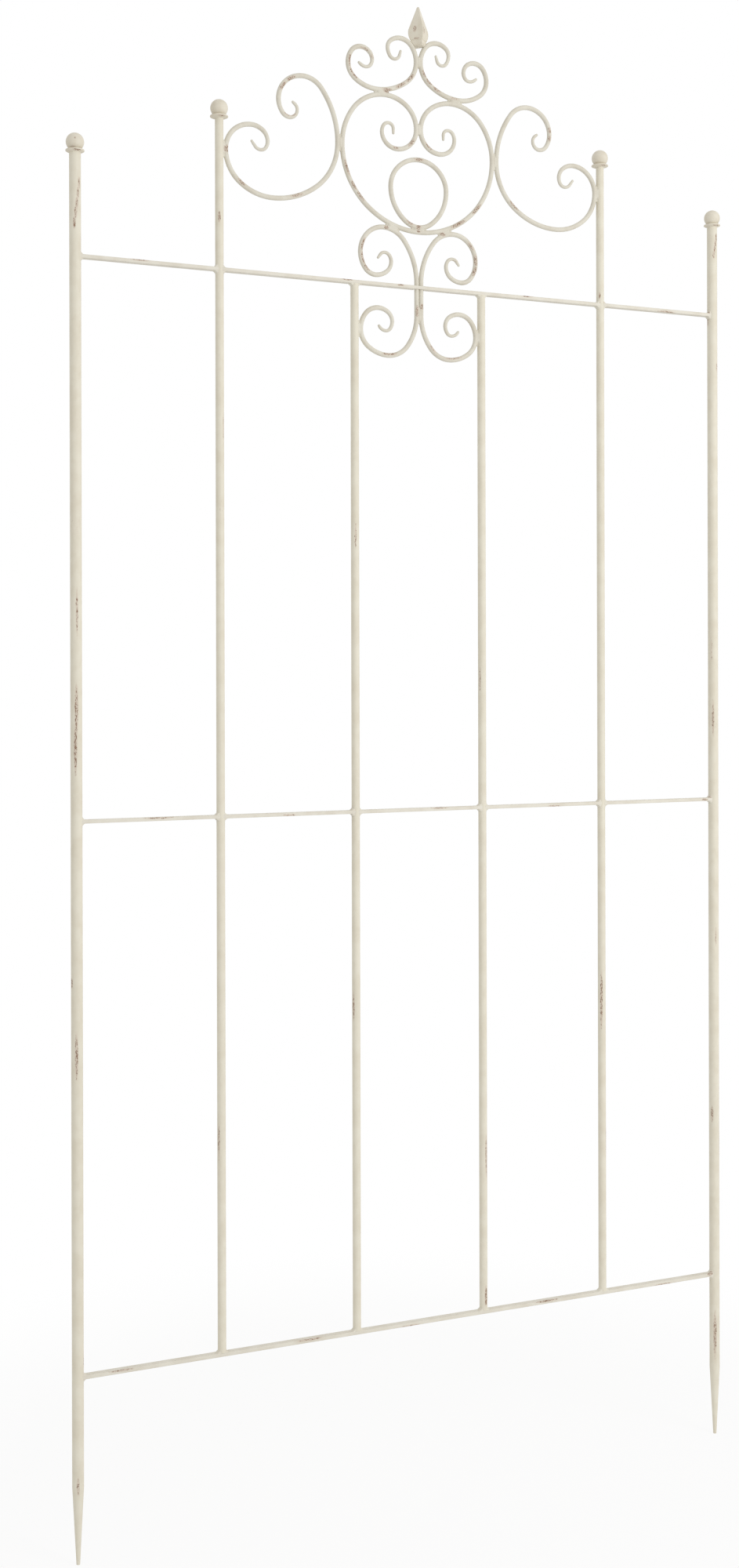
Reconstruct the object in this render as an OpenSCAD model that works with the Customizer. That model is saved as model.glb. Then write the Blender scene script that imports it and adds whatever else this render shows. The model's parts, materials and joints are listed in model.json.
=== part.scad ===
// Welded steel espalier frame: two spiked posts, four uprights and three lines of flat rail under a crest of
// round-rod scrolls. Sizes are in millimetres. The frame stands in the x-z plane, with its origin midway
// between the two spike tips, +X to the right, +Y to the back and +Z up.

/* [Frame] */
// Distance between neighbouring uprights, centre to centre
bay_w = 208; // [190:1:250]
// Height of the bottom rail above the spike tips
bottom_rail_z = 255; // [180:1:400]
// Height of the middle rails above the spike tips
middle_rail_z = 1013; // [600:1:1400]
// Height of the top rail above the spike tips
top_rail_z = 1785; // [1500:1:2100]
// Height of each post above the top rail, up to its finial
post_rise = 141; // [60:1:300]
// Height of each tall upright above the top rail, up to its finial
upright_rise = 213; // [195:1:300]

/* [Posts and uprights] */
// Outside diameter of the two posts
post_d = 16; // [13:0.5:22]
// Wall of the posts
post_wall = 1.2; // [0.8:0.1:2]
// Length of the drawn point at the foot of each post
spike_len = 105; // [60:1:150]
// Length of that point that is closed up solid
spike_solid = 30; // [10:1:50]
// Diameter of the blunt spike tips
spike_tip_d = 5; // [3:0.5:8]
// Outside diameter of the four uprights
upright_d = 12; // [10:0.5:16]
// Wall of the uprights
upright_wall = 1; // [0.8:0.1:1.5]

/* [Rails] */
// Depth of the flat rails, front to back
rail_depth = 11; // [9:0.5:14]
// Thickness of the flat rails
rail_t = 5; // [3:0.5:8]
// Chamfer along the edges of the rails
rail_chamfer = 0.6; // [0.3:0.1:1]

/* [Ball finials] */
// Diameter of the balls
ball_d = 25; // [18:0.5:34]
// Depth to which each ball runs into its collar
ball_sink = 2; // [1:0.5:4]
// Diameter of the collar under each ball
collar_d = 26; // [24:0.5:36]
// Thickness of the collar
collar_t = 4; // [2:0.5:8]
// Length of the spigot that holds each finial in its tube
spigot_len = 18; // [10:1:30]
// Room around the spigot
spigot_clearance = 0.1; // [0.05:0.05:0.3]
// Chamfer on the edges of the collar and the spigot
finial_chamfer = 0.6; // [0.3:0.1:0.9]

/* [Scroll rod] */
// Diameter of the scroll rod
rod_d = 7; // [5:0.5:8]
// Diameter of the drawn-out tips
tip_d = 3.6; // [2.6:0.1:4.4]

/* [Lower scrolls] */
// Height of their upper lobes above the top rail
lower_rise = 85; // [76:1:100]
// Half distance between the tops of their upper lobes
lower_x = 57.5; // [50:0.5:66]
// Height of the bend from the middle up to the top of the upper lobes
lower_bend = 78; // [68:1:90]
// Drop of their lower lobes below the top rail
lower_drop = 103; // [96:1:115]
// Height above the foot of the lower lobes at which they touch the inner uprights
inner_touch = 36; // [30:1:42]
// Height above that foot at which the two scrolls part
lower_parting = 62; // [56:1:68]

/* [Heart and ring] */
// Half width of the heart
heart_half = 123; // [112:1:134]
// Height of the heart's widest point above its foot
heart_shoulder = 118; // [105:1:132]
// Height of the lobes above the widest point
heart_lobe_rise = 79; // [70:1:90]
// Half distance between the tops of the lobes
heart_lobe_x = 54; // [48:0.5:60]
// Drop from the top of the lobes to the place where they touch
lobe_drop = 45.5; // [42:0.5:50]
// Half width of the ring in the heart
ring_half = 45.5; // [38:0.5:52]
// Height of the ring's widest point above its foot
ring_belly = 56.5; // [48:0.5:65]
// Height of the ring above its widest point
ring_crown = 43.5; // [36:0.5:50]

/* [Side scrolls] */
// Reach of the foot from the heart
side_reach = 102; // [92:1:112]
// Drop of the foot below the heart's widest point
side_drop = 91; // [82:1:100]
// Height of the upper lobe above the heart's widest point
side_rise = 89.5; // [80:0.5:98]
// Height above the foot at which the scroll touches the tall upright
side_touch = 62; // [56:1:68]

/* [Top scrolls] */
// Offset of the foot outside the top of the heart's lobe
top_foot = 14; // [8:0.5:20]
// Height above the foot at which the two top scrolls touch
top_touch = 48; // [42:0.5:54]

/* [Spear finial] */
// Height of the spear's base above the place where the top scrolls touch
spear_rise = 23.5; // [21:0.5:26]
// Side of the square plinth
plinth_w = 18.4; // [16:0.2:21]
// Height of the plinth
plinth_h = 8; // [6:0.5:11]
// Chamfer under the plinth
plinth_chamfer = 2; // [1:0.5:4]
// Depth of the groove between the plinth and the blade
groove_depth = 0.7; // [0.3:0.1:1.5]
// Height of that groove
groove_h = 0.9; // [0.5:0.1:1.5]
// Width of the blade across its flats at its widest
blade_w = 23.2; // [21:0.2:24]
// Height of the blade's widest point
blade_widest = 11; // [9:0.5:13]
// Radius of the blade's shoulders below its widest point
blade_shoulder_r = 28; // [24:1:40]
// Radius that turns the shoulders into the straight flanks above
blade_turn_r = 16; // [12:0.5:20]
// Width of the blade across its flats where its rounded nose begins
nose_w = 5.2; // [4:0.2:7]
// Height of the rounded nose
nose_h = 5; // [2:0.5:7]

/* [Welds] */
// Gap that is left between two welded pieces
weld_gap = 0.2; // [0.1:0.05:0.4]
// Leg of the beads round the tubes
weld_leg = 2.5; // [1.5:0.1:4]
// Radius of the beads between the scroll rods
bead_r = 1.9; // [1.5:0.1:2.2]
// Length of those beads
bead_len = 14; // [8:1:18]
// Height of those beads over the face of the rod
bead_proud = 0.5; // [0.2:0.1:0.8]

/* [Hidden] */
$fn = 64;
bend_fn = 480;
rod_fn = 128;

cream = "#E3DDD0";
shaded_cream = "#D3CFC0";

post_x = 2.5 * bay_w;
tall_x = 1.5 * bay_w;
inner_x = 0.5 * bay_w;
post_top = top_rail_z + post_rise;
upright_top = top_rail_z + upright_rise;
upright_foot = bottom_rail_z + rail_t / 2;
post_bore_d = post_d - 2 * post_wall;
upright_bore_d = upright_d - 2 * upright_wall;

// Quarter bends in the scrolls: each is two arcs that meet where a 3-4-5 triangle fits, so that every centre
// falls on a round number. A quarter that runs some way ahead and some way aside has these two radii.
ahead_way = [1, 0];
fold_way = [0.8, 0.6];
steep_way = [0.6, 0.8];
late_way = [0.28, 0.96];
aside_way = [0, 1];
quarter_ways = [ahead_way, [0.96, 0.28], fold_way, steep_way, late_way, aside_way];
function first_r(ahead, aside) = 2 * ahead - aside;
function last_r(ahead, aside) = 1.5 * aside - 0.5 * ahead;

// A direction in the x-z plane, by its angle from +X towards +Z.
function way(angle) = [cos(angle), sin(angle)];

// A turning point on a tenth of a millimetre.
function tenth(p) = [round(10 * p[0]) / 10, round(10 * p[1]) / 10];

// Height at which a hollow bend of radius r_above rests on a crown of radius r_below with its top at crown_z,
// when the bend's lowest point is dx beside that top.
function seat_z(crown_z, r_below, r_above, dx) =
    let (apart = r_below + r_above + rod_d + weld_gap)
    ceil(10 * (crown_z - r_below - r_above + sqrt(apart * apart - dx * dx))) / 10;

// The crest is drawn from the middle of the top rail. The two halves of a pair run this far from the middle.
touch_x = (rod_d + weld_gap) / 2;

lower_r = last_r(lower_bend, lower_x - touch_x);
heart_foot_r = first_r(heart_half, heart_shoulder);
heart_z = seat_z(lower_rise, lower_r, heart_foot_r, lower_x);
shoulder_z = heart_z + heart_shoulder;
lobe_z = shoulder_z + heart_lobe_rise;
lobe_touch_z = lobe_z - lobe_drop;
ring_z = heart_z + rod_d + weld_gap;

heart_side_x = heart_half + rod_d + weld_gap;
side_x = heart_side_x + side_reach;
side_z = shoulder_z - side_drop;
tall_side_x = tall_x - upright_d / 2 - rod_d / 2 - weld_gap;
tall_side_z = side_z + side_touch;

lobe_r = last_r(heart_lobe_rise, heart_half - heart_lobe_x);
top_x = heart_lobe_x + top_foot;
top_foot_r = first_r(top_x - touch_x, top_touch);
top_z = seat_z(lobe_z, lobe_r, top_foot_r, top_foot);
top_touch_z = top_z + top_touch;
spear_z = top_touch_z + spear_rise;

inner_side_x = inner_x - upright_d / 2 - rod_d / 2 - weld_gap;
inner_side_z = inner_touch - lower_drop;
lower_start_z = lower_rise - lower_bend;
lower_end_z = lower_parting - lower_drop;

// Scroll arms on the right of the frame: [first heading, turn, turning points, tip]. The rod runs through
// these points by quarter bends that all turn one way, 1 for anticlockwise as seen from the front. It is
// drawn thinner along the last bends and ends in a tip of [end direction, radius, straight nose].
drawn_bends = 2;
draw_step = round(100 * (rod_d - tip_d) / (drawn_bends + 1)) / 100;

heart_arm = [0, 1, [
    [0, heart_z],
    [heart_half, shoulder_z],
    [heart_lobe_x, lobe_z],
    [touch_x, lobe_touch_z],
    [35, lobe_z - 77.5],
    [59.5, lobe_z - 54],
    [49, lobe_z - 40.5]
], [aside_way, 8, 8]];

side_up_arm = [180, -1, [
    [side_x, side_z],
    [heart_side_x, shoulder_z],
    [heart_side_x + 54, shoulder_z + side_rise],
    [heart_side_x + 92, shoulder_z + side_rise - 37],
    [heart_side_x + 74.5, shoulder_z + side_rise - 62],
    [heart_side_x + 63, shoulder_z + side_rise - 50]
], [steep_way, 10.5, 5]];

side_low_arm = [0, 1, [
    [side_x, side_z],
    [tall_side_x, tall_side_z],
    [tall_side_x - 38.5, tall_side_z + 39],
    [tall_side_x - 63.5, tall_side_z + 17.5],
    [tall_side_x - 53, tall_side_z + 4.5]
], [steep_way, 11, 10]];

top_up_arm = [180, -1, [
    [top_x, top_z],
    [touch_x, top_touch_z],
    [30, top_touch_z + 32],
    [50, top_touch_z + 16],
    [39, top_touch_z]
], [late_way, 8.5, 8.5]];

top_out_arm = [0, 1, [
    [top_x, top_z],
    [top_x + 45.5, top_z + 34],
    [top_x + 25, top_z + 59],
    [top_x + 7, top_z + 42],
    [top_x + 17, top_z + 30.5]
], [fold_way, 14, 5]];

lower_up_arm = [90, -1, [
    [touch_x, lower_start_z],
    [lower_x, lower_rise],
    [lower_x + 37, lower_rise - 39],
    [70, 14],
    [45, 35.5],
    [55.5, 48]
], [steep_way, 8.5, 8]];

lower_down_arm = [-90, 1, [
    [touch_x, lower_end_z],
    [50, -lower_drop],
    [inner_side_x, inner_side_z],
    [66, inner_side_z + 33],
    [43.5, inner_side_z + 14],
    [54, inner_side_z]
], [steep_way, 12, 4]];

// Heading of an arm at a turning point and its diameter there.
function heading(arm, i) = arm[0] + 90 * arm[1] * i;
function drawn_d(arm, i) = rod_d - draw_step * max(0, i + 1 + drawn_bends - len(arm[2]));

// Places children with their z axis along a direction in the x-z plane.
module along(p, angle) {
    translate([p[0], 0, p[1]])
        rotate([0, 90 - angle, 0])
            children();
}

// Places children in the frame of a running rod, with x ahead and z to the side that it turns to.
module running(p, angle, turn) {
    translate([p[0], 0, p[1]])
        rotate([0, -angle, 0])
            mirror([0, 0, turn > 0 ? 0 : 1])
                children();
}

// A bend of the rod in that frame: the sector of a quarter ring from one direction of travel to another.
module bend(centre, r, d, from, to) {
    reach = 2 * ceil(r + d);
    translate([centre[0], 0, centre[1]])
        rotate([90, 0, 0])
            rotate([0, 0, -90])
                intersection() {
                    rotate_extrude(angle = 90, $fn = bend_fn)
                        translate([r, 0])
                            circle(d = d, $fn = rod_fn);
                    linear_extrude(2 * d, center = true)
                        polygon([[0, 0], reach * from, reach * (from + to), reach * to]);
                }
}

// A quarter bend between two turning points. Where the rod is drawn from one diameter to another on the way,
// the bend is five short ones, each a little thinner than the last.
module quarter(p, q, angle, turn, d, end_d) {
    ahead = (q - p) * way(angle);
    aside = (q - p) * way(angle + 90 * turn);
    ra = first_r(ahead, aside);
    rb = last_r(ahead, aside);
    first_centre = [0, ra];
    last_centre = first_centre + (ra - rb) * [fold_way[1], -fold_way[0]];
    running(p, angle, turn) {
        if (d == end_d) {
            bend(first_centre, ra, d, ahead_way, fold_way);
            bend(last_centre, rb, d, fold_way, aside_way);
        } else {
            for (i = [0 : 4]) {
                thin_d = d - (d - end_d) * (i + 1) / 5;
                if (i < 2)
                    bend(first_centre, ra, thin_d, quarter_ways[i], quarter_ways[i + 1]);
                else
                    bend(last_centre, rb, thin_d, quarter_ways[i], quarter_ways[i + 1]);
            }
        }
    }
}

// The bends of an arm from one turning point to another, thickened where room is to be cut for them.
module arm_bends(arm, first, last, room = 0) {
    for (i = [first : last - 1]) {
        d = drawn_d(arm, i) + 2 * room;
        end_d = drawn_d(arm, i + 1) + 2 * room;
        quarter(tenth(arm[2][i]), tenth(arm[2][i + 1]), heading(arm, i), arm[1], d, end_d);
    }
}

// The last bend of an arm and its blunt nose.
module arm_tip(arm) {
    last = len(arm[2]) - 1;
    angle = heading(arm, last);
    end_way = arm[3][0];
    r = arm[3][1];
    nose = arm[3][2];
    d = drawn_d(arm, last);
    running(tenth(arm[2][last]), angle, arm[1]) {
        bend([0, r], r, d, ahead_way, end_way);
        along([r * end_way[1], r - r * end_way[0]], atan2(end_way[1], end_way[0]))
            rotate_extrude()
                polygon([
                    [0, 0],
                    [d / 2, 0],
                    [tip_d / 2, nose - tip_d / 4],
                    [tip_d / 4, nose],
                    [0, nose]
                ]);
    }
}

module arm(arm) {
    arm_bends(arm, 0, len(arm[2]) - 1);
    arm_tip(arm);
}

// Draws children on the right and again on the left.
module both_sides() {
    children();
    mirror([1, 0, 0])
        children();
}

// Places children in the crest, whose zero height is the middle of the top rail.
module crest() {
    translate([0, 0, top_rail_z])
        children();
}

// A post: one tube, drawn to a closed point at its foot.
module post(x) {
    r = post_d / 2;
    bore_r = post_bore_d / 2;
    translate([x, 0, 0])
        rotate_extrude()
            polygon([
                [0, 0],
                [spike_tip_d / 2, 0],
                [r, spike_len],
                [r, post_top],
                [bore_r, post_top],
                [bore_r, spike_len],
                [0, spike_solid]
            ]);
}

// An upright: a tube that stands on the bottom rail.
module upright(x, top) {
    translate([x, 0, upright_foot])
        difference() {
            cylinder(d = upright_d, h = top - upright_foot);
            translate([0, 0, -1])
                cylinder(d = upright_bore_d, h = top - upright_foot + 2);
        }
}

// Section of the flat bar, depth across and thickness up.
module bar_section() {
    y = rail_depth / 2;
    z = rail_t / 2;
    c = rail_chamfer;
    polygon([
        [-y + c, -z], [y - c, -z], [y, -z + c], [y, z - c],
        [y - c, z], [-y + c, z], [-y, z - c], [-y, -z + c]
    ]);
}

// Room for a tube in the end of a rail.
module cope(x, d) {
    translate([x, 0, -rail_t])
        cylinder(d = d + 2 * weld_gap, h = 2 * rail_t);
}

// A rail from one tube to another, coped to fit both.
module rail(x0, d0, x1, d1, z) {
    translate([0, 0, z])
        difference() {
            translate([x0, 0, 0])
                rotate([90, 0, 90])
                    linear_extrude(x1 - x0)
                        bar_section();
            cope(x0, d0);
            cope(x1, d1);
        }
}

// A turned ball on a collar, with a spigot that fits a bore.
module ball_finial(x, z, bore_d) {
    collar_r = collar_d / 2;
    spigot_r = bore_d / 2 - spigot_clearance;
    c = finial_chamfer;
    translate([x, 0, z]) {
        rotate_extrude()
            polygon([
                [0, -spigot_len],
                [spigot_r - c, -spigot_len],
                [spigot_r, -spigot_len + c],
                [spigot_r, 0],
                [collar_r - c, 0],
                [collar_r, c],
                [collar_r, collar_t - c],
                [collar_r - c, collar_t],
                [0, collar_t]
            ]);
        translate([0, 0, collar_t + ball_d / 2 - ball_sink])
            sphere(d = ball_d);
    }
}

// The part between two round flanks that are as far apart as the blade is wide, from one height to another.
module lens(r, from, to) {
    intersection() {
        intersection_for (side = [-1, 1])
            translate([side * (r - blade_w / 2), blade_widest])
                circle(r = r);
        translate([-blade_w, from])
            square([2 * blade_w, to - from]);
    }
}

// Outline of the blade: round shoulders that turn into straight flanks, and a blunt nose.
module blade_outline() {
    flank_x = blade_w / 2 - blade_turn_r * (1 - late_way[1]);
    flank_z = blade_widest + blade_turn_r * late_way[0];
    nose_x = nose_w / 2;
    nose_z = flank_z + (flank_x - nose_x) * late_way[1] / late_way[0];
    lens(blade_shoulder_r, 0, blade_widest);
    lens(blade_turn_r, blade_widest, flank_z);
    polygon([
        [-flank_x, flank_z],
        [flank_x, flank_z],
        [nose_x, nose_z],
        [0.75 * nose_x, nose_z + 0.6 * nose_h],
        [0.3 * nose_x, nose_z + nose_h],
        [-0.3 * nose_x, nose_z + nose_h],
        [-0.75 * nose_x, nose_z + 0.6 * nose_h],
        [-nose_x, nose_z]
    ]);
}

// Outline of the plinth, chamfered underneath and grooved round its top.
module plinth_outline() {
    x = plinth_w / 2;
    foot_x = x - plinth_chamfer;
    neck_x = x - groove_depth;
    neck_z = plinth_h - groove_h;
    polygon([
        [-foot_x, 0], [foot_x, 0], [x, plinth_chamfer], [x, neck_z], [neck_x, neck_z],
        [neck_x, plinth_h], [-neck_x, plinth_h], [-neck_x, neck_z], [-x, neck_z], [-x, plinth_chamfer]
    ]);
}

// The four-sided spear, with its edges to the front, the back and the sides.
module spear() {
    intersection_for (side = [-45, 45])
        rotate([0, 0, side])
            rotate([90, 0, 0])
                linear_extrude(2 * blade_w, center = true) {
                    plinth_outline();
                    translate([0, plinth_h])
                        blade_outline();
                }
}

// Rounded beads in the corners between a tube and a rail: ups lists over (1) and under (-1) the rail,
// sides lists the right (1) and the left (-1) of the tube.
module tube_welds(x, d, z, ups, sides) {
    half_depth = rail_depth / 2 - rail_chamfer;
    reach = d / 2 + weld_leg + 1;
    for (up = ups)
        for (side = sides)
            translate([x, 0, z + up * rail_t / 2])
                intersection() {
                    mirror([0, 0, up > 0 ? 0 : 1])
                        rotate_extrude()
                            translate([d / 2, 0])
                                intersection() {
                                    circle(r = weld_leg);
                                    square(weld_leg);
                                }
                    translate([side > 0 ? 0 : -reach, -half_depth, -weld_leg - 1])
                        cube([reach, 2 * half_depth, 2 * weld_leg + 2]);
                }
}

// Beads where a rail runs from post to post past the uprights.
module post_welds(z) {
    tube_welds(-post_x, post_d, z, [-1, 1], [1]);
    tube_welds(post_x, post_d, z, [-1, 1], [-1]);
}

// A pair of beads, front and back, along the line where two rods touch, cut to the children.
module bead_pair(p, angle) {
    y = rod_d / 2 + bead_proud - bead_r;
    half = bead_len / 2;
    difference() {
        for (side = [-1, 1])
            translate([0, side * y, 0])
                along(p, angle)
                    rotate_extrude()
                        polygon([
                            [0, -half],
                            [bead_r / 2, -half],
                            [bead_r, bead_r - half],
                            [bead_r, half - bead_r],
                            [bead_r / 2, half],
                            [0, half]
                        ]);
        children();
    }
}

// A bead pair where a crown and a hollow bend above it touch, from the centres and radius of the two.
module seat_beads(crown_centre, crown_r, bend_centre) {
    line = bend_centre - crown_centre;
    p = crown_centre + (crown_r + touch_x) / norm(line) * line;
    bead_pair(p, atan2(line[1], line[0]) - 90)
        children();
}

// Room for an upright beside a scroll.
module upright_room(x, z) {
    translate([x, 0, z - bead_len])
        cylinder(d = upright_d, h = 2 * bead_len);
}

module left_post() { color(cream) post(-post_x); }
module right_post() { color(cream) post(post_x); }
module left_tall_upright() { color(cream) upright(-tall_x, upright_top); }
module right_tall_upright() { color(cream) upright(tall_x, upright_top); }
module left_inner_upright() { color(cream) upright(-inner_x, top_rail_z - rail_t / 2); }
module right_inner_upright() { color(cream) upright(inner_x, top_rail_z - rail_t / 2); }

module bottom_rail() { color(cream) rail(-post_x, post_d, post_x, post_d, bottom_rail_z); }
module middle_rail_far_left() { color(cream) rail(-post_x, post_d, -tall_x, upright_d, middle_rail_z); }
module middle_rail_left() { color(cream) rail(-tall_x, upright_d, -inner_x, upright_d, middle_rail_z); }
module middle_rail_centre() { color(cream) rail(-inner_x, upright_d, inner_x, upright_d, middle_rail_z); }
module middle_rail_right() { color(cream) rail(inner_x, upright_d, tall_x, upright_d, middle_rail_z); }
module middle_rail_far_right() { color(cream) rail(tall_x, upright_d, post_x, post_d, middle_rail_z); }
module top_rail_left() { color(cream) rail(-post_x, post_d, -tall_x, upright_d, top_rail_z); }
module top_rail_right() { color(cream) rail(tall_x, upright_d, post_x, post_d, top_rail_z); }

// The centre top rail is notched from the back, so that the lower scrolls pass it side by side.
module top_rail_centre() {
    notch_w = 2 * (rod_d + weld_gap);
    notch_y = -rod_d / 2 - weld_gap / 2;
    color(cream)
        difference() {
            rail(-tall_x, upright_d, tall_x, upright_d, top_rail_z);
            translate([-notch_w / 2, notch_y, top_rail_z - rail_t])
                cube([notch_w, rail_depth, 2 * rail_t]);
        }
}

module left_post_finial() { color(cream) ball_finial(-post_x, post_top, post_bore_d); }
module right_post_finial() { color(cream) ball_finial(post_x, post_top, post_bore_d); }
module left_upright_finial() { color(cream) ball_finial(-tall_x, upright_top, upright_bore_d); }
module right_upright_finial() { color(cream) ball_finial(tall_x, upright_top, upright_bore_d); }

// The spear sits between the top scrolls, with its plinth coped over both rods.
module spear_finial() {
    color(cream)
        crest()
            difference() {
                translate([0, 0, spear_z])
                    spear();
                both_sides()
                    arm_bends(top_up_arm, 1, 2, weld_gap);
            }
}

module heart_scroll() {
    color(cream)
        crest()
            both_sides()
                arm(heart_arm);
}

module heart_ring() {
    foot = tenth([0, ring_z]);
    belly = tenth([ring_half, ring_z + ring_belly]);
    crown = tenth([0, ring_z + ring_belly + ring_crown]);
    color(cream)
        crest()
            both_sides() {
                quarter(foot, belly, 0, 1, rod_d, rod_d);
                quarter(belly, crown, 90, 1, rod_d, rod_d);
            }
}

module side_scroll() {
    crest() {
        arm(side_up_arm);
        arm(side_low_arm);
    }
}

module top_scroll() {
    crest() {
        arm(top_up_arm);
        arm(top_out_arm);
    }
}

module lower_scroll() {
    crest() {
        arm(lower_up_arm);
        along(tenth([touch_x, lower_end_z]), 90)
            cylinder(d = rod_d, h = lower_start_z - lower_end_z);
        arm(lower_down_arm);
    }
}

module left_side_scroll() { color(cream) mirror([1, 0, 0]) side_scroll(); }
module right_side_scroll() { color(cream) side_scroll(); }
module left_top_scroll() { color(cream) mirror([1, 0, 0]) top_scroll(); }
module right_top_scroll() { color(cream) top_scroll(); }
module left_lower_scroll() { color(cream) mirror([1, 0, 0]) lower_scroll(); }
module right_lower_scroll() { color(cream) lower_scroll(); }

module bottom_rail_welds() {
    color(shaded_cream) {
        post_welds(bottom_rail_z);
        for (x = [-tall_x, -inner_x, inner_x, tall_x])
            tube_welds(x, upright_d, bottom_rail_z, [1], [-1, 1]);
    }
}

module middle_rail_welds() {
    color(shaded_cream) {
        post_welds(middle_rail_z);
        for (x = [-tall_x, -inner_x, inner_x, tall_x])
            tube_welds(x, upright_d, middle_rail_z, [-1, 1], [-1, 1]);
    }
}

module top_rail_welds() {
    color(shaded_cream) {
        post_welds(top_rail_z);
        for (x = [-tall_x, tall_x])
            tube_welds(x, upright_d, top_rail_z, [-1, 1], [-1, 1]);
        for (x = [-inner_x, inner_x])
            tube_welds(x, upright_d, top_rail_z, [-1], [-1, 1]);
    }
}

// The bend at the foot of the heart or the ring, left and right of the middle.
module foot_bend(z, r) {
    translate([0, 0, z + r])
        rotate([90, 0, 0])
            rotate([0, 0, -135])
                rotate_extrude(angle = 90, $fn = bend_fn)
                    translate([r, 0])
                        circle(d = rod_d, $fn = rod_fn);
}

// Beads on the middle line of the crest.
module middle_beads() {
    bead_pair([0, lobe_touch_z], 90)
        both_sides()
            arm_bends(heart_arm, 2, 4);
    bead_pair([0, heart_z + touch_x], 0) {
        foot_bend(heart_z, heart_foot_r);
        foot_bend(ring_z, first_r(ring_half, ring_belly));
    }
    bead_pair([0, top_touch_z], 90)
        both_sides()
            arm_bends(top_up_arm, 0, 2);
    bead_pair([0, lower_end_z], 90)
        both_sides() {
            along(tenth([touch_x, lower_end_z]), 90)
                cylinder(d = rod_d, h = lower_start_z - lower_end_z);
            arm_bends(lower_down_arm, 0, 1);
        }
}

// Beads on the right of the crest.
module right_beads() {
    seat_beads([lower_x, lower_rise - lower_r], lower_r, [0, heart_z + heart_foot_r]) {
        arm_bends(lower_up_arm, 0, 2);
        arm_bends(heart_arm, 0, 1);
    }
    seat_beads([heart_lobe_x, lobe_z - lobe_r], lobe_r, [top_x, top_z + top_foot_r]) {
        arm_bends(heart_arm, 1, 3);
        arm_bends(top_up_arm, 0, 1);
        arm_bends(top_out_arm, 0, 1);
    }
    bead_pair([heart_half + touch_x, shoulder_z], 90) {
        arm_bends(heart_arm, 0, 2);
        arm_bends(side_up_arm, 0, 2);
    }
    bead_pair([tall_side_x + touch_x, tall_side_z], 90) {
        arm_bends(side_low_arm, 0, 2);
        upright_room(tall_x, tall_side_z);
    }
    bead_pair([inner_side_x + touch_x, inner_side_z], 90) {
        arm_bends(lower_down_arm, 0, 3);
        upright_room(inner_x, inner_side_z);
    }
}

module crest_welds() {
    color(shaded_cream)
        crest() {
            middle_beads();
            both_sides()
                right_beads();
        }
}

left_post();
right_post();
left_tall_upright();
right_tall_upright();
left_inner_upright();
right_inner_upright();
bottom_rail();
middle_rail_far_left();
middle_rail_left();
middle_rail_centre();
middle_rail_right();
middle_rail_far_right();
top_rail_left();
top_rail_centre();
top_rail_right();
left_post_finial();
right_post_finial();
left_upright_finial();
right_upright_finial();
spear_finial();
heart_scroll();
heart_ring();
left_side_scroll();
right_side_scroll();
left_top_scroll();
right_top_scroll();
left_lower_scroll();
right_lower_scroll();
bottom_rail_welds();
middle_rail_welds();
top_rail_welds();
crest_welds();
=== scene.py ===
"""The looks of the espalier frame: worn cream paint on tube, flat bar, rod and welds."""

import json
import math

import bpy
from mathutils import Matrix


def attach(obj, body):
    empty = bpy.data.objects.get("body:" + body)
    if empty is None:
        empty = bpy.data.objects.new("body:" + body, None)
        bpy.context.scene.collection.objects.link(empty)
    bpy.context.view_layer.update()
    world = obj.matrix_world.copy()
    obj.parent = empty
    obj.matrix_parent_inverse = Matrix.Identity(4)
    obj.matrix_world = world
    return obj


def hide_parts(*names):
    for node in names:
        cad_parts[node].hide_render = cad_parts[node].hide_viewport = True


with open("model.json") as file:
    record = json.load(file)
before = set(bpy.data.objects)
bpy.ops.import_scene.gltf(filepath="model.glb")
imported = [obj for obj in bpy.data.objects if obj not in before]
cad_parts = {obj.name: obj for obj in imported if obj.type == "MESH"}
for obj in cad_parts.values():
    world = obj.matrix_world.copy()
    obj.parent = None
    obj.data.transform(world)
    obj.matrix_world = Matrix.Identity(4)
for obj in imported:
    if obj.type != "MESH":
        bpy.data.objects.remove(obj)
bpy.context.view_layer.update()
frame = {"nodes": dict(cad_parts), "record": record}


class Socket:
    """A shader socket. Sums on it add Math nodes, and node() adds any other node."""

    def __init__(self, output):
        self.output = output

    @classmethod
    def node(cls, tree, kind, settings=None, sockets=None, out=0):
        made = tree.nodes.new(kind)
        for name, value in (settings or {}).items():
            setattr(made, name, value)
        for key, value in (sockets or {}).items():
            if isinstance(value, cls):
                tree.links.new(value.output, made.inputs[key])
            else:
                made.inputs[key].default_value = value
        return cls(made.outputs[out]) if len(made.outputs) else made

    def math(self, operation, first, second):
        tree = self.output.id_data
        return Socket.node(tree, "ShaderNodeMath", {"operation": operation}, {0: first, 1: second})

    def __add__(self, other):
        return self.math("ADD", self, other)

    __radd__ = __add__

    def __sub__(self, other):
        return self.math("SUBTRACT", self, other)

    def __rsub__(self, other):
        return self.math("SUBTRACT", other, self)

    def __mul__(self, other):
        return self.math("MULTIPLY", self, other)

    __rmul__ = __mul__

    def most(self, other):
        return self.math("MAXIMUM", self, other)

    def least(self, other):
        return self.math("MINIMUM", self, other)

    def between(self, low, high):
        """0 below low, 1 above high, with a soft step from one to the other."""
        tree = self.output.id_data
        return Socket.node(
            tree,
            "ShaderNodeMapRange",
            {"interpolation_type": "SMOOTHSTEP"},
            {"Value": self, "From Min": low, "From Max": high},
        )


def shade(red, green, blue):
    """A colour as a paint card gives it, 0 to 255, in the shader's own scale."""
    parts = [c / 255 for c in (red, green, blue)]
    scaled = [p / 12.92 if p <= 0.04045 else ((p + 0.055) / 1.055) ** 2.4 for p in parts]
    return (*scaled, 1.0)


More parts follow.
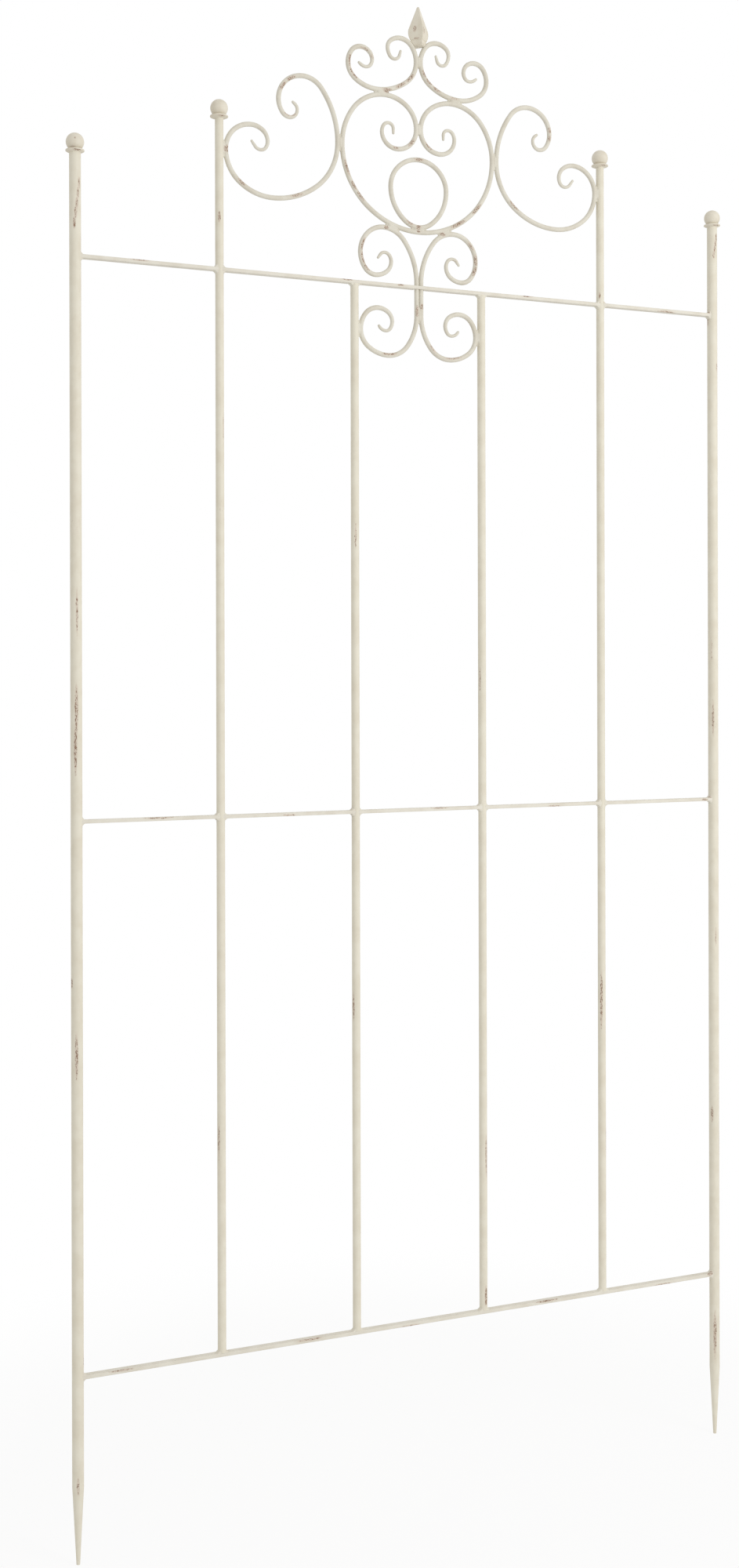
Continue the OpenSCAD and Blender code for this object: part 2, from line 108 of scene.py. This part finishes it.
def blended(tree, share, first, second):
    """The first colour turning into the second as share goes from 0 to 1."""
    sockets = {0: share, 6: first, 7: second}
    return Socket.node(tree, "ShaderNodeMix", {"data_type": "RGBA"}, sockets, out=2)


def measured(tree, point, place, size, turn=0):
    """The point as measured from a place, in units of size, with the axes turned about Y."""
    return Socket.node(
        tree,
        "ShaderNodeMapping",
        {"vector_type": "TEXTURE"},
        {"Vector": point, "Location": place, "Rotation": (0, turn, 0), "Scale": size},
    )


def distance(tree, point):
    """How far a point is from the origin."""
    length = {"operation": "LENGTH"}
    return Socket.node(tree, "ShaderNodeVectorMath", length, {0: point}, out="Value")


def grain(tree, point, size, stretch, detail, shift):
    """Noise around 0.5 with grains about size metres across, drawn out by stretch."""
    placed = measured(tree, point, (shift, shift, shift), [size * s for s in stretch])
    sockets = {"Vector": placed, "Scale": 1.0, "Detail": detail}
    return Socket.node(tree, "ShaderNodeTexNoise", None, sockets)


MM_IN_A_METRE = 1000
FULLY_RUBBED = 0.3


def worn_at(tree, point, places):
    """How far the paint is rubbed away at the listed places.

    A place is its centre and half sizes in millimetres, its strength and, if it has one, its turn
    about Y. It is rubbed fully over the middle share of its half sizes and less towards its rim.
    """
    field = None
    for centre, half, strength, *turn in places:
        centre = [c / MM_IN_A_METRE for c in centre]
        half = [h / MM_IN_A_METRE for h in half]
        away = distance(tree, measured(tree, point, centre, half, *turn))
        here = away.between(1.0, FULLY_RUBBED) * strength
        field = here if field is None else field.most(here)
    return field


# How grain is drawn out along X, Y and Z: down a tube, along a rail, or not at all.
DOWN, ACROSS, EVEN = (1, 1, 2.4), (2.4, 1, 1), (1, 1, 1)

# Sizes of grain in metres: worn patches, clouds in the tone, brush marks and the skin of the paint.
PATCH, CLOUD, BRUSH, SKIN = 0.045, 0.028, 0.006, 0.0025
SPECK_OF_A_CHIP = 0.35
BUMP_DEPTH, BUMP_STRENGTH = 0.0004, 0.4
GLOSS = 0.22

STAIN, STAIN_SHARE = shade(210, 194, 178), 0.65
RUST, DARK_RUST = shade(164, 134, 112), shade(116, 88, 70)


def worn_paint(name, places, cream, dull, stretch, chip, spread):
    """Satin cream paint, rubbed off in flakes down to the rusty steel, mostly at the worn places.

    The paint goes from cream to a dull tone. A chip is as large as given in metres, and spread says
    how much is worn away from the listed places.
    """
    material = bpy.data.materials.new(name)
    material.use_nodes = True
    tree = material.node_tree
    shader = tree.nodes["Principled BSDF"]
    point = Socket.node(tree, "ShaderNodeTexCoord", out="Object")

    # Each grain has its own shift, so that no two of them line up.
    patches = grain(tree, point, PATCH, stretch, detail=2.0, shift=0.31)
    flakes = grain(tree, point, chip, stretch, detail=4.0, shift=0.07)
    specks = grain(tree, point, chip * SPECK_OF_A_CHIP, stretch, detail=2.0, shift=0.53)
    clouds = grain(tree, point, CLOUD, EVEN, detail=3.0, shift=0.19)
    brush = grain(tree, point, BRUSH, stretch, detail=3.0, shift=0.43)
    skin = grain(tree, point, SKIN, EVEN, detail=2.0, shift=0.11)

    rubbed = worn_at(tree, point, places).least(1.0)
    worn = rubbed.most(patches.between(0.64, 0.8) * spread)
    broken = flakes * 0.55 + specks * 0.45 + worn * 0.17
    chipped = broken.between(0.65, 0.72) * worn.between(0.05, 0.5)
    thinned = (worn * 1.2 + flakes * 0.6 - 0.4).between(0.05, 0.85)

    tone = (clouds * 0.7 + brush * 0.3).between(0.34, 0.7)
    paint = blended(tree, tone, cream, dull)
    paint = blended(tree, thinned * STAIN_SHARE, paint, STAIN)
    rust = blended(tree, specks.between(0.4, 0.7), RUST, DARK_RUST)
    colour = blended(tree, chipped, paint, rust)
    finish = 0.46 + brush * 0.14 + chipped * 0.3
    height = skin * 0.12 + brush * 0.16 - chipped * 0.5
    sockets = {"Height": height, "Strength": BUMP_STRENGTH, "Distance": BUMP_DEPTH}
    bump = Socket.node(tree, "ShaderNodeBump", None, sockets)

    shader.inputs["Specular IOR Level"].default_value = GLOSS
    tree.links.new(colour.output, shader.inputs["Base Color"])
    tree.links.new(finish.output, shader.inputs["Roughness"])
    tree.links.new(bump.output, shader.inputs["Normal"])
    return material


# In millimetres: the places of the tubes along X, and the radii of the tubes and rods.
POST, TALL, INNER = 520, 312, 104
POST_R, UPRIGHT_R, ROD_R = 8, 6, 3.5
FRONT, BACK = -1, 1


def streak(tube_x, radius, turn_top, turn_foot, foot, top, half_width, strength):
    """A sanded line down a tube.

    It runs from turn_top to turn_foot, in degrees round the tube from the front towards +X. A line
    that turns is made of parts that overlap.
    """
    degrees_a_part, half_alone, half_overlapping = 12, 0.55, 0.95
    length = top - foot
    parts = max(1, round(abs(turn_foot - turn_top) / degrees_a_part))
    half_length = (half_alone if parts == 1 else half_overlapping) * length / parts
    spots = []
    for part in range(parts):
        share = (part + 0.5) / parts
        turn = math.radians(turn_top + (turn_foot - turn_top) * share)
        centre = (tube_x + radius * math.sin(turn), -radius * math.cos(turn), top - length * share)
        spots.append((centre, (half_width, half_width, half_length), strength))
    return spots


def rub(strength, *points, face=FRONT):
    """A rubbed line along a rod through the points (x, z), on its front or its back."""
    half_width, half_overlapping = 4, 0.65
    spots = []
    for (x, z), (next_x, next_z) in zip(points, points[1:]):
        centre = ((x + next_x) / 2, face * ROD_R, (z + next_z) / 2)
        half_length = half_overlapping * math.hypot(next_x - x, next_z - z)
        turn = math.atan2(z - next_z, next_x - x)
        spots.append((centre, (half_length, half_width, half_width), strength, turn))
    return spots


# The worn places of each piece, as worn_at takes them.
WORN = {
    "left_post": [
        *streak(-POST, POST_R, 34, -30, 1822, 1890, 3, 0.95),
        *streak(-POST, POST_R, -6, -6, 1256, 1343, 2.6, 0.9),
        *streak(-POST, POST_R, -8, -28, 1086, 1192, 3.2, 1.25),
        *streak(-POST, POST_R, -75, -75, 784, 803, 3, 1.2),
        *streak(-POST, POST_R, -20, -20, 655, 734, 3.4, 1.15),
        *streak(-POST, POST_R, 70, 70, 262, 294, 3, 1.1),
        *streak(-POST, 6, -15, -15, 90, 130, 4, 1.1),
        *streak(-POST, POST_R, 160, 160, 1440, 1560, 4, 1.0),
        *streak(-POST, POST_R, -160, -160, 860, 960, 4, 1.1),
    ],
    "right_post": [
        *streak(POST, POST_R, 28, -22, 1876, 1914, 3, 1.1),
        *streak(POST, POST_R, 28, 28, 1690, 1714, 3, 0.8),
        *streak(POST, POST_R, -95, -95, 1762, 1798, 2.6, 1.2),
        *streak(POST, POST_R, -52, -52, 1224, 1278, 3.4, 0.5),
        *streak(POST, POST_R, -35, -35, 1105, 1178, 3, 1.0),
        *streak(POST, POST_R, -10, -10, 773, 815, 2.4, 0.7),
        *streak(POST, POST_R, -58, -58, 495, 527, 3, 1.2),
        *streak(POST, POST_R, 52, 52, 432, 490, 3.4, 1.2),
        *streak(POST, 7, -30, -30, 108, 212, 4, 1.1),
        *streak(POST, POST_R, 150, 150, 1500, 1600, 4, 1.1),
        *streak(POST, POST_R, 175, 175, 600, 690, 4, 1.0),
    ],
    "left_tall_upright": [
        *streak(-TALL, UPRIGHT_R, -20, -20, 1848, 1868, 3, 1.1),
        *streak(-TALL, UPRIGHT_R, 40, 40, 1530, 1590, 2.6, 0.7),
        *streak(-TALL, UPRIGHT_R, -60, -60, 520, 590, 3, 0.9),
        *streak(-TALL, UPRIGHT_R, 160, 160, 1180, 1270, 3.4, 1.1),
    ],
    "left_inner_upright": [
        *streak(-INNER, UPRIGHT_R, -15, -15, 1390, 1440, 2.6, 0.7),
        *streak(-INNER, UPRIGHT_R, -65, -65, 700, 760, 3, 0.9),
        *streak(-INNER, UPRIGHT_R, 170, 170, 480, 570, 3.2, 1.1),
    ],
    "right_inner_upright": [
        *streak(INNER, UPRIGHT_R, 25, 25, 445, 532, 3, 1.15),
        *streak(INNER, UPRIGHT_R, 12, 12, 258, 300, 3.2, 1.3),
        *streak(INNER, UPRIGHT_R, -60, -60, 1180, 1230, 2.6, 0.8),
        *streak(INNER, UPRIGHT_R, 170, 170, 1370, 1460, 3.2, 1.1),
    ],
    "right_tall_upright": [
        *streak(TALL, UPRIGHT_R, -36, -36, 652, 765, 3, 1.2),
        *streak(TALL, UPRIGHT_R, 55, 55, 456, 524, 3, 1.1),
        *streak(TALL, UPRIGHT_R, -40, -40, 1792, 1806, 2.4, 1.1),
        *streak(TALL, UPRIGHT_R, 160, 160, 960, 1060, 3.2, 1.1),
    ],
    "bottom_rail": [
        ((-460, -5, 257), (26, 3, 3), 0.9),
        ((-180, -5, 257), (30, 3, 3), 0.9),
        ((-20, -5, 253), (26, 3, 3), 0.8),
        ((210, -5, 257), (30, 3, 3), 1.0),
        ((420, -5, 253), (26, 3, 3), 0.9),
        ((508, -5, 257), (7, 4, 4), 1.3),
        ((-300, 5, 256), (34, 3, 3), 1.0),
        ((150, 5, 253), (34, 3, 3), 1.0),
    ],
    "middle_rail_far_left": [
        ((-404, -5, 1015), (34, 3, 3), 0.9),
        ((-430, 5, 1012), (26, 3, 3), 1.0),
    ],
    "middle_rail_left": [((-210, -5, 1012), (16, 3, 3), 0.8), ((-250, 5, 1012), (26, 3, 3), 1.0)],
    "middle_rail_centre": [((30, -5, 1015), (22, 3, 3), 0.9), ((-40, 5, 1014), (22, 3, 3), 1.0)],
    "middle_rail_right": [((225, -5, 1011), (18, 3, 3), 0.9), ((180, 5, 1014), (22, 3, 3), 1.0)],
    "middle_rail_far_right": [((500, -5, 1013), (9, 3, 3), 1.1), ((400, 5, 1014), (22, 3, 3), 1.0)],
    "top_rail_left": [((-430, -5, 1787), (22, 3, 3), 0.9), ((-380, 5, 1784), (22, 3, 3), 1.0)],
    "top_rail_centre": [
        ((-118, -5, 1787), (12, 3, 2.5), 1.2),
        ((-32, -5, 1786), (8, 3, 2.5), 1.2),
        ((180, -5, 1787), (16, 3, 2.5), 0.9),
        ((-250, 5, 1786), (24, 3, 3), 1.0),
        ((60, 5, 1783), (20, 3, 3), 1.0),
    ],
    "top_rail_right": [((430, -5, 1783), (24, 3, 3), 1.0), ((390, 5, 1786), (24, 3, 3), 1.0)],
    "left_post_finial": [
        ((-POST, -12, 1927), (12, 5, 2), 1.0),
        ((-POST - 5, -8, 1930), (6, 5, 2), 1.4),
        ((-POST - 3, -11.5, 1943), (2, 2, 2), 1.4),
        ((-POST, 11, 1940), (6, 5, 6), 0.9),
    ],
    "right_post_finial": [((POST, -12, 1927), (12, 5, 2), 0.8), ((POST, 11, 1944), (6, 5, 6), 0.9)],
    "left_upright_finial": [
        ((-TALL, -12, 1999), (12, 5, 2), 0.9),
        ((-TALL, 11, 2014), (5, 5, 5), 0.9),
    ],
    "right_upright_finial": [
        ((TALL, -12, 1999), (12, 5, 2), 0.8),
        ((TALL, 11, 2014), (5, 5, 5), 0.9),
    ],
    "spear_finial": [
        ((3, -14, 2164), (2.5, 5, 10), 1.15),
        ((-9, -7, 2166), (4, 5, 8), 0.9),
        ((-7, -8, 2152), (6, 6, 1.8), 1.2),
        ((3, 14, 2170), (3, 5, 10), 1.0),
    ],
    "heart_scroll": [
        *rub(1.2, (-121, 1964), (-112, 1937)),
        *rub(1.15, (-110, 1933), (-101, 1918), (-89, 1904)),
        *rub(1.2, (51, 1878), (77, 1893)),
        *rub(1.15, (87, 1902), (103, 1920)),
        *rub(0.9, (-44, 1989), (-33, 1987)),
        *rub(1.0, (-19, 1991), (-7, 2005)),
        *rub(1.0, (9, 2002), (22, 1990)),
        *rub(1.2, (-6, 1869), (3, 1869)),
        *rub(1.2, (-123, 1991), (-119, 2011), (-112, 2029), face=BACK),
        *rub(1.1, (43, 2064), (78, 2060), face=BACK),
    ],
    "heart_ring": [
        *rub(1.0, (-10, 1975), (8, 1974)),
        *rub(1.3, (-6, 1875), (3, 1875)),
        *rub(0.9, (-23, 1884), (-8, 1876)),
        *rub(1.1, (22, 1970), (39, 1954), face=BACK),
    ],
    "left_side_scroll": [
        *rub(1.1, (-221, 2049), (-211, 2064), (-196, 2073)),
        *rub(0.9, (-215, 2019), (-205, 2014), (-195, 2020)),
        *rub(1.0, (-273, 1906), (-286, 1917)),
        *rub(0.9, (-207, 1898), (-184, 1905)),
        *rub(1.1, (-301, 1950), (-301, 1963)),
        *rub(1.1, (-239, 1895), (-203, 1899), face=BACK),
    ],
    "right_side_scroll": [
        *rub(1.0, (168, 1915), (150, 1931)),
        *rub(0.9, (220, 2050), (222, 2038), (220, 2026)),
        *rub(1.1, (221, 1895), (257, 1899), face=BACK),
    ],
    "left_top_scroll": [
        *rub(1.3, (-111, 2117), (-112, 2097), (-100, 2081)),
        *rub(0.8, (-97, 2129), (-79, 2124)),
        *rub(1.15, (-39, 2076), (-22, 2086), (-8, 2100)),
        *rub(0.6, (-78, 2122), (-74, 2112)),
        *rub(1.0, (-62, 2071), (-42, 2072)),
    ],
    "right_top_scroll": [
        *rub(1.2, (5, 2109), (11, 2097), (21, 2087)),
        *rub(1.0, (22, 2086), (36, 2078)),
        *rub(0.6, (49, 2073), (69, 2071)),
        *rub(1.2, (113, 2112), (113, 2099), (106, 2086), face=BACK),
    ],
    "left_lower_scroll": [
        *rub(1.4, (-88, 1852), (-94, 1832), (-89, 1811)),
        *rub(1.2, (-90, 1813), (-81, 1803)),
        *rub(1.3, (-4, 1741), (-4, 1759)),
        *rub(1.0, (-63, 1683), (-35, 1685)),
        *rub(1.3, (-58, 1870), (-50, 1868)),
        *rub(1.1, (-56, 1682), (-26, 1690), face=BACK),
    ],
    "right_lower_scroll": [
        *rub(1.35, (88, 1809), (94, 1825), (92, 1843)),
        *rub(0.8, (79, 1862), (91, 1847)),
        *rub(1.3, (3.5, 1752), (3.5, 1762)),
        *rub(0.9, (40, 1683), (71, 1687)),
        *rub(0.8, (28, 1689), (15, 1704)),
        *rub(1.4, (34, 1868), (43, 1867)),
        *rub(1.2, (93, 1820), (94, 1836), (89, 1851), face=BACK),
    ],
    "bottom_rail_welds": [((510, -4, 258), (5, 5, 5), 1.2)],
    "middle_rail_welds": [((510, -4, 1016), (4, 5, 4), 1.2)],
    "top_rail_welds": [((510, -4, 1789), (4, 5, 4), 1.3), ((312, -5, 1789), (6, 5, 4), 1.1)],
    "crest_welds": [
        ((-54, -2, 1869), (5, 5, 4), 1.3),
        ((38, -2, 1868), (5, 5, 4), 1.3),
        ((-2, -2, 1872), (5, 5, 4), 1.3),
        ((-52, -3, 2069), (10, 5, 4), 1.1),
        ((-304, -2, 1956), (5, 5, 7), 1.1),
        ((2, -3, 1757), (3, 4, 5), 1.2),
    ],
}

# Each paint's cream and dull tone, its grain, the size of its chips and how much is worn all over.
PAINTS = {
    "tube_paint": (shade(231, 226, 210), shade(223, 216, 198), DOWN, 0.0017, 0.35),
    "rail_paint": (shade(229, 225, 213), shade(220, 214, 200), ACROSS, 0.0018, 0.35),
    "finial_paint": (shade(230, 224, 209), shade(220, 212, 194), EVEN, 0.0018, 0.35),
    "scroll_paint": (shade(224, 220, 207), shade(213, 207, 192), EVEN, 0.0018, 0.5),
    "weld_paint": (shade(229, 225, 211), shade(220, 213, 198), EVEN, 0.0018, 0.35),
}
slot_of = {part["node"]: part["material_slot"] for part in frame["record"]["subparts"]}
for node, piece in frame["nodes"].items():
    # The beads of the crest have the tones of the rods that they join.
    tones = "scroll_paint" if node == "crest_welds" else slot_of[node]
    piece.data.materials.clear()
    piece.data.materials.append(worn_paint(node + "_cream", WORN[node], *PAINTS[tones]))


def picked(*pieces):
    """Selects these pieces alone, the first of them as the active one."""
    bpy.ops.object.select_all(action="DESELECT")
    for piece in pieces:
        piece.select_set(True)
    bpy.context.view_layer.objects.active = pieces[0]


# In metres: corners this close are one at a seam, and at a step in the drawn end of a rod.
SEAM, DRAWN_STEP = 0.00001, 0.0002


def taken(node, merged=SEAM):
    """A copy of one solid's mesh, with the corners merged that are no further apart than merged."""
    piece = bpy.data.objects.new(node + "_laid", frame["nodes"][node].data.copy())
    bpy.context.scene.collection.objects.link(piece)
    picked(piece)
    bpy.ops.object.mode_set(mode="EDIT")
    bpy.ops.mesh.select_all(action="SELECT")
    bpy.ops.mesh.remove_doubles(threshold=merged)
    bpy.ops.object.mode_set(mode="OBJECT")
    return piece


def joined(pieces):
    """The pieces as one."""
    picked(*pieces)
    bpy.ops.object.join()
    return bpy.context.object


def shaped(piece, kind, **settings):
    """One modifier, set and applied."""
    step = piece.modifiers.new(kind.lower(), kind)
    for name, value in settings.items():
        setattr(step, name, value)
    picked(piece)
    bpy.ops.object.modifier_apply(modifier=step.name)


def cut(piece, operation, tool):
    """The piece less a tool, or the part of it inside the tool, which is then thrown away."""
    shaped(piece, "BOOLEAN", operation=operation, solver="MANIFOLD", object=tool)
    bpy.data.objects.remove(tool)


def corners(piece):
    """The lowest and the highest corner of a piece's box."""
    return piece.bound_box[0], piece.bound_box[6]


def rooms_round(beads, margin):
    """Boxes with a margin round the beads, those that overlap taken as one."""
    rooms = []
    for bead in beads:
        low, high = corners(bead)
        low = [c - margin for c in low]
        high = [c + margin for c in high]
        apart = []
        for room in rooms:
            if all(room[0][i] < high[i] and room[1][i] > low[i] for i in range(3)):
                low = [min(pair) for pair in zip(low, room[0])]
                high = [max(pair) for pair in zip(high, room[1])]
            else:
                apart.append(room)
        rooms = apart + [(low, high)]
    cubes = []
    for low, high in rooms:
        middle = [(a + b) / 2 for a, b in zip(low, high)]
        bpy.ops.mesh.primitive_cube_add(size=1, location=middle)
        bpy.context.object.scale = [b - a for a, b in zip(low, high)]
        cubes.append(bpy.context.object)
    picked(*cubes)
    bpy.ops.object.transform_apply(location=True, rotation=True, scale=True)
    return joined(cubes)


# In metres: the room round a bead in which its neighbours are run in, the grids of its mesh before
# and after that, how far it is drawn in at the end, and the size and height of its lumps.
BEAD_ROOM = 0.006
BEAD_GRID, RUN_IN_GRID = 0.0005, 0.0006
DRAWN_IN = 0.00012
LUMP_SIZE, LUMP_HEIGHT = 0.003, 0.0003


def run_in(weld, neighbours, hollow):
    """The beads of one group, run into the pieces that they join by hollows, and a little lumpy."""
    picked(taken(weld))
    bpy.ops.mesh.separate(type="LOOSE")
    beads = list(bpy.context.selected_objects)
    rooms = rooms_round(beads, BEAD_ROOM)
    web = joined([taken(node) for node in neighbours])
    cut(web, "INTERSECT", rooms)
    web = joined([web] + beads)
    web.name = weld + "_run_in"
    web.data.materials.clear()
    web.data.materials.append(frame["nodes"][weld].data.materials[0])
    lumps = bpy.data.textures.new(weld + "_lumps", "CLOUDS")
    lumps.noise_scale = LUMP_SIZE
    lumpy = {"strength": LUMP_HEIGHT, "texture": lumps, "texture_coords": "LOCAL"}
    shaped(web, "REMESH", mode="VOXEL", voxel_size=BEAD_GRID)
    shaped(web, "DISPLACE", strength=hollow, mid_level=0.0)
    shaped(web, "REMESH", mode="VOXEL", voxel_size=RUN_IN_GRID)
    shaped(web, "DISPLACE", strength=-hollow - DRAWN_IN, mid_level=0.0)
    shaped(web, "DISPLACE", mid_level=0.5, **lumpy)
    shaped(web, "SMOOTH", factor=0.5, iterations=6)
    picked(web)
    bpy.ops.object.shade_smooth()
    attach(web, "root")
    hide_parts(weld)


# In metres: the radius of a collar's rim, how far it stands above the tube's end, and spare length.
RIM_R, RIM_RISE, SPARE = 0.0135, 0.0022, 0.001
RING_SIDES = 96


def undercut(piece, tube):
    """Takes the square edge off under a collar, so that it slopes from its rim down to its tube."""
    low, high = corners(frame["nodes"][tube])
    x, foot, tube_r = (low[0] + high[0]) / 2, high[2], (high[0] - low[0]) / 2
    slope = (RIM_R - tube_r) / RIM_RISE
    bpy.ops.mesh.primitive_cylinder_add(
        vertices=RING_SIDES,
        radius=RIM_R + 2 * SPARE,
        depth=RIM_RISE + SPARE,
        location=(x, 0, foot + (RIM_RISE - SPARE) / 2),
    )
    ring = bpy.context.object
    bpy.ops.mesh.primitive_cone_add(
        vertices=RING_SIDES,
        radius1=tube_r - slope * SPARE,
        radius2=RIM_R + slope * SPARE,
        depth=RIM_RISE + 2 * SPARE,
        location=(x, 0, foot + RIM_RISE / 2),
    )
    cone = bpy.context.object
    cut(ring, "DIFFERENCE", cone)
    cut(piece, "DIFFERENCE", ring)


FINIAL_GRID = 0.0004


def softened(node, passes, growth=EVEN, about=0, tube=None):
    """A finial with its edges rounded off under the paint by so many passes of smoothing.

    One that sits on a tube is first cut in under its collar. The growth is from the height about.
    """
    piece = taken(node)
    piece.name = node + "_softened"
    if tube:
        undercut(piece, tube)
    shaped(piece, "REMESH", mode="VOXEL", voxel_size=FINIAL_GRID)
    shaped(piece, "SMOOTH", factor=0.5, iterations=passes)
    picked(piece)
    piece.location = (0, 0, -about)
    bpy.ops.object.transform_apply(location=True, rotation=False, scale=False)
    piece.scale = growth
    piece.location = (0, 0, about)
    bpy.ops.object.transform_apply(location=True, rotation=False, scale=True)
    bpy.ops.object.shade_smooth()
    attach(piece, "root")
    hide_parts(node)


def drawn_out(rod):
    """A rod whose drawn ends taper smoothly, without the small steps of the solid."""
    piece = taken(rod, DRAWN_STEP)
    piece.name = rod + "_drawn_out"
    bpy.ops.object.mode_set(mode="EDIT")
    bpy.ops.mesh.select_all(action="SELECT")
    bpy.ops.mesh.fill_holes(sides=6)
    bpy.ops.mesh.normals_make_consistent(inside=False)
    bpy.ops.mesh.customdata_custom_splitnormals_clear()
    bpy.ops.object.mode_set(mode="OBJECT")
    bpy.ops.object.shade_smooth(keep_sharp_edges=False)
    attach(piece, "root")
    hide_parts(rod)


SPEAR_PASSES, BALL_PASSES = 5, 16
SPEAR_GROWTH, SPEAR_GROOVE = (1.02, 1.02, 1.03), 2.1508
softened("spear_finial", SPEAR_PASSES, SPEAR_GROWTH, SPEAR_GROOVE)
for side in ("left", "right"):
    softened(side + "_post_finial", BALL_PASSES, tube=side + "_post")
    softened(side + "_upright_finial", BALL_PASSES, tube=side + "_tall_upright")

RAIL_HOLLOW, CREST_HOLLOW = 0.0014, 0.0008
TUBES = [node for node, slot in slot_of.items() if slot == "tube_paint"]
BARS = [node for node, slot in slot_of.items() if slot == "rail_paint"]
RODS = [node for node, slot in slot_of.items() if slot == "scroll_paint"]
for rail in ("bottom_rail", "middle_rail", "top_rail"):
    bars = [node for node in BARS if node.startswith(rail)]
    run_in(rail + "_welds", TUBES + bars, RAIL_HOLLOW)
run_in("crest_welds", RODS + TUBES, CREST_HOLLOW)
for rod in RODS:
    drawn_out(rod)

WHITE, CHALK, WARM_WHITE = (1, 1, 1, 1), (0.92, 0.92, 0.92, 1), (1.0, 0.99, 0.975, 1)


def seen(tree):
    """1 where a surface is looked at, 0 where it only gives light."""
    path = Socket.node(tree, "ShaderNodeLightPath", out="Is Camera Ray")
    rays = path.output.node.outputs
    return path.most(Socket(rays["Is Glossy Ray"])).most(Socket(rays["Is Transmission Ray"]))


def white_floor():
    """A white floor that keeps a faint shadow near the frame."""
    width, near, far, near_white = 40, 0.55, 1.2, 0.86
    bpy.ops.object.select_all(action="DESELECT")
    bpy.ops.mesh.primitive_plane_add(size=width, location=(0, 0, 0))
    floor = bpy.context.object
    floor.name = "studio_floor"
    material = bpy.data.materials.new("white_floor")
    material.use_nodes = True
    tree = material.node_tree
    tree.nodes.clear()
    point = Socket.node(tree, "ShaderNodeTexCoord", out="Object")
    white = near_white + distance(tree, point).between(near, far) * (1 - near_white)
    matt = Socket.node(tree, "ShaderNodeBsdfDiffuse", None, {"Color": CHALK})
    glow = Socket.node(tree, "ShaderNodeEmission", None, {"Color": WHITE, "Strength": 1.0})
    sockets = {0: seen(tree) * white, 1: matt, 2: glow}
    mixed = Socket.node(tree, "ShaderNodeMixShader", None, sockets)
    Socket.node(tree, "ShaderNodeOutputMaterial", None, {"Surface": mixed})
    floor.data.materials.append(material)


def surround():
    """A dome of warm light all round, which is itself seen as plain white."""
    world = bpy.data.worlds.new("studio")
    bpy.context.scene.world = world
    world.use_nodes = True
    tree = world.node_tree
    tree.nodes.clear()
    warm, plain = {"Color": WARM_WHITE, "Strength": 0.745}, {"Color": WHITE, "Strength": 1.0}
    dome = Socket.node(tree, "ShaderNodeBackground", None, warm)
    white = Socket.node(tree, "ShaderNodeBackground", None, plain)
    mixed = Socket.node(tree, "ShaderNodeMixShader", None, {0: seen(tree), 1: dome, 2: white})
    Socket.node(tree, "ShaderNodeOutputWorld", None, {"Surface": mixed})


def hung(name, held):
    """An object that holds a lamp or a camera."""
    holder = bpy.data.objects.new(name, held)
    bpy.context.scene.collection.objects.link(holder)
    return holder


def front_lamp():
    """One large soft lamp in front of the frame, to its right and turned towards its middle."""
    place, aim = (1.85, -3.3, 2.2), (0, 0, 1.2)
    lamp = bpy.data.lights.new("front_lamp", "AREA")
    lamp.shape = "RECTANGLE"
    lamp.size, lamp.size_y = 1.6, 2.0
    lamp.energy = 44
    run = [a - p for a, p in zip(aim, place)]
    bearing = math.atan2(-run[0], run[1])
    fall = math.atan2(run[2], math.hypot(run[0], run[1]))
    turn = Matrix.Rotation(bearing, 4, "Z") @ Matrix.Rotation(math.pi / 2 + fall, 4, "X")
    hung("front_lamp", lamp).matrix_world = Matrix.Translation(place) @ turn


def viewpoint():
    """The camera, level and turned a little towards +X, shifted to frame the whole height."""
    place, bearing, roll = (-1.1661, -2.4268, 1.2125), -0.4203, -0.0024
    camera = bpy.data.cameras.new("viewpoint")
    camera.lens = 41.72
    camera.sensor_width = 36
    camera.shift_y = -0.0696
    turn = Matrix.Rotation(bearing, 4, "Z") @ Matrix.Rotation(math.pi / 2, 4, "X")
    holder = hung("viewpoint", camera)
    holder.matrix_world = Matrix.Translation(place) @ turn @ Matrix.Rotation(roll, 4, "Z")
    bpy.context.scene.camera = holder


white_floor()
surround()
front_lamp()
viewpoint()
bpy.context.scene.view_settings.view_transform = "Standard"
